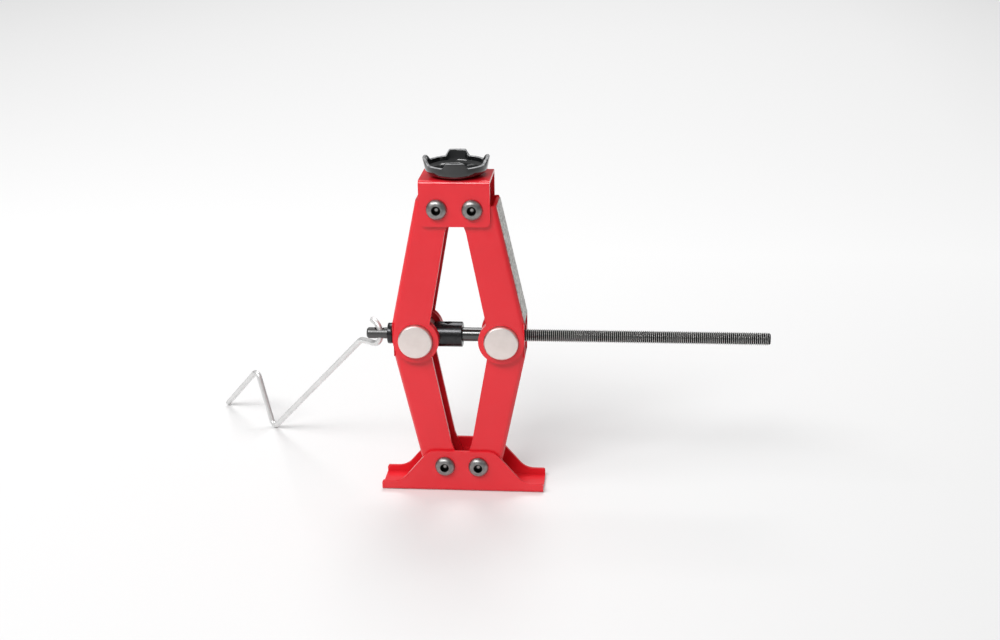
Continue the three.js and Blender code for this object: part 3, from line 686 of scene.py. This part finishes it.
def thread_radius(x, angle, end):
    """Radius of a right-hand thread that fades in at its start and is chamfered at its end."""
    phase = (x / THREAD_PITCH - angle / (2 * math.pi)) % 1.0
    wave = abs(phase - 0.5) * 2
    depth = THREAD_DEPTH * min(1.0, max(0.0, (wave - CREST_WIDTH) / FLANK_WIDTH))
    depth *= min(1.0, max(0.0, (x - THREAD_START) / THREAD_PITCH))
    chamfer = THREAD_RADIUS - THREAD_CHAMFER + max(0.0, end - x)
    return min(THREAD_RADIUS - depth, chamfer)


def build_screw():
    low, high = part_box("lead_screw")
    left, right = low.x / MM, high.x / MM
    radius = (high.z - low.z) / 2 / MM
    rows = [(0, left)]
    rows += [(DRIVE_END_RADIUS - inset, left + along) for inset, along in DRIVE_END_NOSE]
    rows += [(DRIVE_END_RADIUS, DRIVE_END), (radius - 0.08, DRIVE_END),
             (radius, DRIVE_END + 0.08), (radius, THREAD_START - 0.15),
             (THREAD_RADIUS, THREAD_START - 0.05)]
    count = int((right - THREAD_START) / THREAD_PITCH * THREAD_STEPS)
    for k in range(count):
        x = THREAD_START + (right - THREAD_START) * k / count
        rows.append(lambda a, x=x: (thread_radius(x, a, right), x))
    rows += [(THREAD_RADIUS - THREAD_CHAMFER, right), (0, right)]
    place = axis_frame((0, 0, SCREW_Z * MM), (1, 0, 0))
    body = revolve("lead_screw_threaded", rows, place, sides=28)
    hole = mirrored([(EYE_RADIUS + wider, away) for wider, away in EYE_FLARE] + [(0, 3.0)])
    eye = axis_frame(Vector((EYE_X, 0, SCREW_Z)) * MM, (0, 0, 1))
    carve(body, [revolve("eye", hole, eye, sides=40)])
    put(body, "lead_screw", "black_oxide", "lead_screw", material="threaded_rod")


def build_collars():
    fit_ring("thrust_washer", "lead_screw", "dark_nickel", "x", SCREW_BORE, 0.18,
             material="black_oxide")
    fit_ring("thrust_sleeve", "lead_screw", "dark_nickel", "x", SCREW_BORE, 0.1)
    centre, size = span("stop_collar")
    radius = size.z / 2
    rows = ring_rows(radius, SCREW_BORE, size.x / 2, COLLAR_EDGE, 0.07, 0.2)
    collar = revolve("stop_collar_detailed", rows, axis_frame(centre, (1, 0, 0)), sides=112,
                     ring=True)
    screw_centre, screw_size = span("collar_set_screw")
    hole = [(0, 0), (COLLAR_HOLE, 0), (COLLAR_HOLE, radius - 0.12), (1.12, radius + 0.1),
            (1.12, 4), (0, 4)]
    mouth = axis_frame((screw_centre.x, screw_centre.y, centre.z), (0, 0, 1))
    carve(collar, [revolve("hole", hole, mouth, sides=48)])
    put(collar, "lead_screw", "black_oxide", "stop_collar")
    top = screw_size.z / 2
    across = hexagon(SET_SCREW_FLATS)
    rows = [(0, top - 0.62), lambda a: (across(a), top - 0.55), lambda a: (across(a), top - 0.05),
            lambda a: (across(a) + 0.05, top), (SET_SCREW_RADIUS - 0.08, top),
            (SET_SCREW_RADIUS, top - 0.1), (SET_SCREW_RADIUS, -top), (0, -top)]
    grub = revolve("collar_set_screw_detailed", rows, axis_frame(screw_centre, (0, 0, 1)),
                   sides=48)
    put(grub, "lead_screw", "black_oxide", "collar_set_screw")


# ---------- crank ----------


def bend(before, corner, after, radius, steps):
    """Points of an arc that rounds a corner between two straight runs."""
    back = (before - corner).normalized()
    ahead = (after - corner).normalized()
    half = back.angle(ahead) / 2
    centre = corner + (back + ahead).normalized() * (radius / math.sin(half))
    first = corner + back * (radius / math.tan(half)) - centre
    last = corner + ahead * (radius / math.tan(half)) - centre
    sweep = first.angle(last)
    points = []
    for i in range(steps + 1):
        share = i / steps
        a = math.sin((1 - share) * sweep) / math.sin(sweep)
        b = math.sin(share * sweep) / math.sin(sweep)
        points.append(centre + first * a + last * b)
    return points


def straight(start, end, step=2.0):
    """Points strictly between two ends, for an even mesh."""
    count = max(1, int((end - start).length / step))
    return [start.lerp(end, i / count) for i in range(1, count)]


def crank_route():
    """The crank's centre line, in mm: hook, long shaft, throw and handle in one upright plane."""

    def at(distance, height):
        return Vector((EYE_X - distance * math.cos(CRANK_TURN),
                       distance * math.sin(CRANK_TURN), height))

    hook = []
    for i in range(HOOK_STEPS + 1):
        angle = math.radians(HOOK_START + HOOK_SWEEP * i / HOOK_STEPS)
        hook.append(at(HOOK_OUT + HOOK_RADIUS * math.cos(angle),
                       SCREW_Z - HOOK_DROP + HOOK_RADIUS * math.sin(angle)))
    hook_end = hook[-1]
    shaft_top = at(NECK[0], hook_end.z + NECK[1])
    shaft_foot, throw_top, end = at(*SHAFT_FOOT), at(*THROW_TOP), at(*HANDLE_END)
    neck = bend(hook_end, shaft_top, shaft_foot, NECK_BEND, 10)
    low = bend(shaft_top, shaft_foot, throw_top, THROW_BEND, 14)
    high = bend(shaft_foot, throw_top, end, THROW_BEND, 14)
    route = hook + straight(hook_end, neck[0]) + neck + straight(neck[-1], low[0]) + low
    return route + straight(low[-1], high[0]) + high + straight(high[-1], end) + [end]


def build_crank():
    route = [p * MM for p in crank_route()]
    wire = tube("crank_wire", route, WIRE_RADIUS * MM, 24)
    put(wire, "crank_handle", "bright_wire", "crank_handle")


# ---------- saddle ----------


def lobe(angle):
    """0 between the lobes and 1 on one, with sloping shoulders."""
    quarter = math.pi / 2
    off = abs((angle + quarter / 2) % quarter - quarter / 2) * SADDLE_RADIUS
    share = min(1.0, max(0.0, (LOBE_HALF - off) / LOBE_SHOULDER))
    return share * share * (3 - 2 * share)


def saddle_wall_row(share, inset, rise):
    """A row that share of the way up the wall and inset from its outside. rise is the height of
    the lobes."""

    def row(angle):
        top = SADDLE_RIM + (rise - SADDLE_RIM) * lobe(angle)
        above = (top - SADDLE_WALL_START) * share
        lean = SADDLE_FLARE * lobe(angle) * max(0.0, above / (rise - SADDLE_WALL_START))
        return SADDLE_RADIUS + lean - inset, SADDLE_WALL_START + above

    return row


def build_saddle():
    low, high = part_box("saddle")
    rise = (high.z - low.z) / MM
    up = [(s, 0.0) for s in (0.0, 0.25, 0.5, 0.75, 0.88)]
    down = [(s, SADDLE_WALL) for s in (0.88, 0.75, 0.5, 0.25, 0.0)]
    rows = [(SADDLE_HOLE, 0.0)] + SADDLE_UNDERSIDE
    rows += [saddle_wall_row(share, inset, rise) for share, inset in up + SADDLE_LIP + down]
    rows += SADDLE_BOWL + [(SADDLE_HOLE, SADDLE_FLOOR)]
    underside = axis_frame((0, 0, low.z), (0, 0, 1))
    turned = underside @ Matrix.Rotation(SADDLE_TURN, 4, "Z")
    cup = revolve("saddle_cup", rows, turned, sides=192, ring=True)
    put(cup, "top_bracket", "black_plastic", "saddle")
    cup.data.materials.append(MATERIALS["rim_highlight_plastic"])
    # The upward faces high on the saddle get the painted highlight.
    for polygon in cup.data.polygons:
        if polygon.normal.z > 0.5 and polygon.center.z > RIM_HIGHLIGHT_HEIGHT * MM:
            polygon.material_index = 1
    screw_low, screw_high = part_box("saddle_screw")
    radius = (screw_high.x - screw_low.x) / 2 / MM
    height = (screw_high.z - low.z) / MM - SADDLE_FLOOR
    length = (low.z - screw_low.z) / MM + SADDLE_FLOOR
    head = button_head("saddle_screw_detailed", underside, radius, height, SADDLE_FLOOR, length)
    put(head, "top_bracket", "black_oxide", "saddle_screw")
    place = axis_frame((0, 0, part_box("saddle_nut")[1].z), (0, 0, -1))
    nut = hex_nut("saddle_nut_detailed", place, span("saddle_nut")[1].z)
    put(nut, "top_bracket", "plain_steel", "saddle_nut")


# ---------- studio ----------


def build_floor():
    mesh = bpy.data.meshes.new("floor")
    corners = [(x * FLOOR_REACH, y * FLOOR_REACH, -FLOOR_DROP)
               for x, y in ((-1, -1), (1, -1), (1, 1), (-1, 1))]
    mesh.from_pydata(corners, [], [(0, 1, 2, 3)])
    floor = link("floor", mesh)
    paint = Paint("floor_paper", (0.9, 0.9, 0.9), 0.5)
    paint.set("Specular IOR Level", 0.3)
    # Painted shade: the floor is painted darker towards the front and far to the right.
    deep = paint.spread(paint.aside, FLOOR_FRONT, FLOOR_BACK, -0.2, 0.2)
    right = paint.spread(paint.across, 1.0, FLOOR_RIGHT, 0.2, 1.2)
    paint.vary_colour(paint.math("MULTIPLY", deep, right), (0, 0, 0), (1, 1, 1), 0.0, 1.0)
    mesh.materials.append(paint.material)


def build_lights():
    for name, (place, aim, size, power) in LIGHTS.items():
        lamp = bpy.data.lights.new(name, "AREA")
        lamp.shape = "RECTANGLE"
        lamp.size, lamp.size_y = size
        lamp.energy = power
        item = link(name, lamp)
        item.location = Vector(place)
        item.rotation_euler = (Vector(aim) - Vector(place)).to_track_quat("-Z", "Y").to_euler()


def build_world():
    """A studio, bright overhead and darker around, so that bright metal has something darker to
    reflect."""
    world = bpy.data.worlds.new("studio")
    bpy.context.scene.world = world
    world.use_nodes = True
    nodes, links = world.node_tree.nodes, world.node_tree.links
    coordinates = nodes.new("ShaderNodeTexCoord")
    parts = nodes.new("ShaderNodeSeparateXYZ")
    links.new(coordinates.outputs["Generated"], parts.inputs["Vector"])

    def ramp(axis, start, end, low, high):
        """Goes from low to high between two places on an axis."""
        node = nodes.new("ShaderNodeMapRange")
        node.interpolation_type = "SMOOTHSTEP"
        links.new(parts.outputs[axis], node.inputs["Value"])
        for socket, value in (("From Min", start), ("From Max", end), ("To Min", low),
                              ("To Max", high)):
            if isinstance(value, float):
                node.inputs[socket].default_value = value
            else:
                links.new(value, node.inputs[socket])
        return node.outputs["Result"]

    depth = ramp("Y", -0.4, 0.6, FRONT_LIGHT, BACK_LIGHT)
    side = ramp("X", 0.0, 0.9, 1.0, RIGHT_SHARE)
    horizon = nodes.new("ShaderNodeMath")
    horizon.operation = "MULTIPLY"
    links.new(depth, horizon.inputs[0])
    links.new(side, horizon.inputs[1])
    strength = ramp("Z", 0.1, 0.75, horizon.outputs[0], ZENITH_LIGHT)
    links.new(strength, nodes["Background"].inputs["Strength"])
    nodes["Background"].inputs["Color"].default_value = (1, 1, 1, 1)


def build_camera():
    turn, rise = math.radians(CAMERA_TURN), math.radians(CAMERA_RISE)
    ahead = -Vector((math.sin(turn) * math.cos(rise), -math.cos(turn) * math.cos(rise),
                     math.sin(rise)))
    right = Vector((math.cos(turn), math.sin(turn), 0))
    up = right.cross(ahead)
    yaw = Matrix.Rotation(math.radians(CAMERA_YAW), 3, up)
    ahead, right = yaw @ ahead, yaw @ right
    pitch = Matrix.Rotation(math.radians(CAMERA_PITCH), 3, right)
    ahead, up = pitch @ ahead, pitch @ up
    roll = Matrix.Rotation(math.radians(CAMERA_ROLL), 3, ahead)
    right, up = roll @ right, roll @ up
    data = bpy.data.cameras.new("camera")
    data.sensor_width = SENSOR
    data.lens = FOCAL
    data.clip_start, data.clip_end = 0.01, 20
    camera = link("camera", data)
    camera.matrix_world = (Matrix.Translation(CAMERA_PLACE)
                           @ Matrix((right, up, -ahead)).transposed().to_4x4())
    bpy.context.scene.camera = camera


bpy.context.scene.view_settings.view_transform = "Standard"
build_camera()
build_sheet_parts()
build_pivots()
build_trunnions()
build_screw()
build_collars()
build_crank()
build_saddle()
build_label()
build_floor()
build_world()
build_lights()
